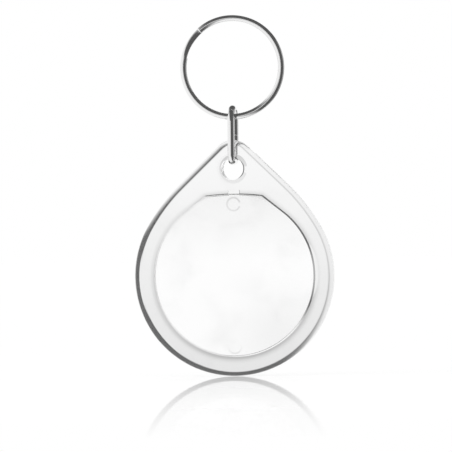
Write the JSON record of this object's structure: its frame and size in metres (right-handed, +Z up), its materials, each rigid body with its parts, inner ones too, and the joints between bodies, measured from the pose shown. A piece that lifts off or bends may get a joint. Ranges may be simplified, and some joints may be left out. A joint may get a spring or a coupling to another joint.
{
  "type": "keychain",
  "caption": "Clear teardrop keychain: a snap-in back disc closes a round insert window, and a wire link hangs the holder from a split ring.",
  "frame": {"origin": "inside of the split ring at its top, where a hook or a bag's loop carries it", "axes": "+X to the right and +Z up along the hanging keychain, +Y out of the back disc; the window's pane faces -Y"},
  "size_m": [0.0478, 0.0084, 0.0863],
  "materials": {
    "plated_steel": "nickel-plated steel wire, polished",
    "clear_plastic": "clear moulded acrylic, glossy"
  },
  "bodies": {
    "ring": {"split_ring": "plated_steel"},
    "link": {"link": "plated_steel"},
    "holder": {"front_frame": "clear_plastic"},
    "disc": {"back_disc": "clear_plastic"}
  },
  "joints": [
    {"name": "link_swing", "type": "hinge", "parent": "ring", "child": "link", "pos_m": [0, 0, -0.0229], "axis": [1, 0, 0], "range_deg": [-120, 120]},
    {"name": "holder_sway", "type": "hinge", "parent": "link", "child": "holder", "pos_m": [0, 0, -0.03356], "axis": [0, 1, 0], "range_deg": [-60, 60]},
    {"name": "disc_release", "type": "slide", "parent": "holder", "child": "disc", "axis": [0, 1, 0], "range_m": [0, 0.008]}
  ]
}
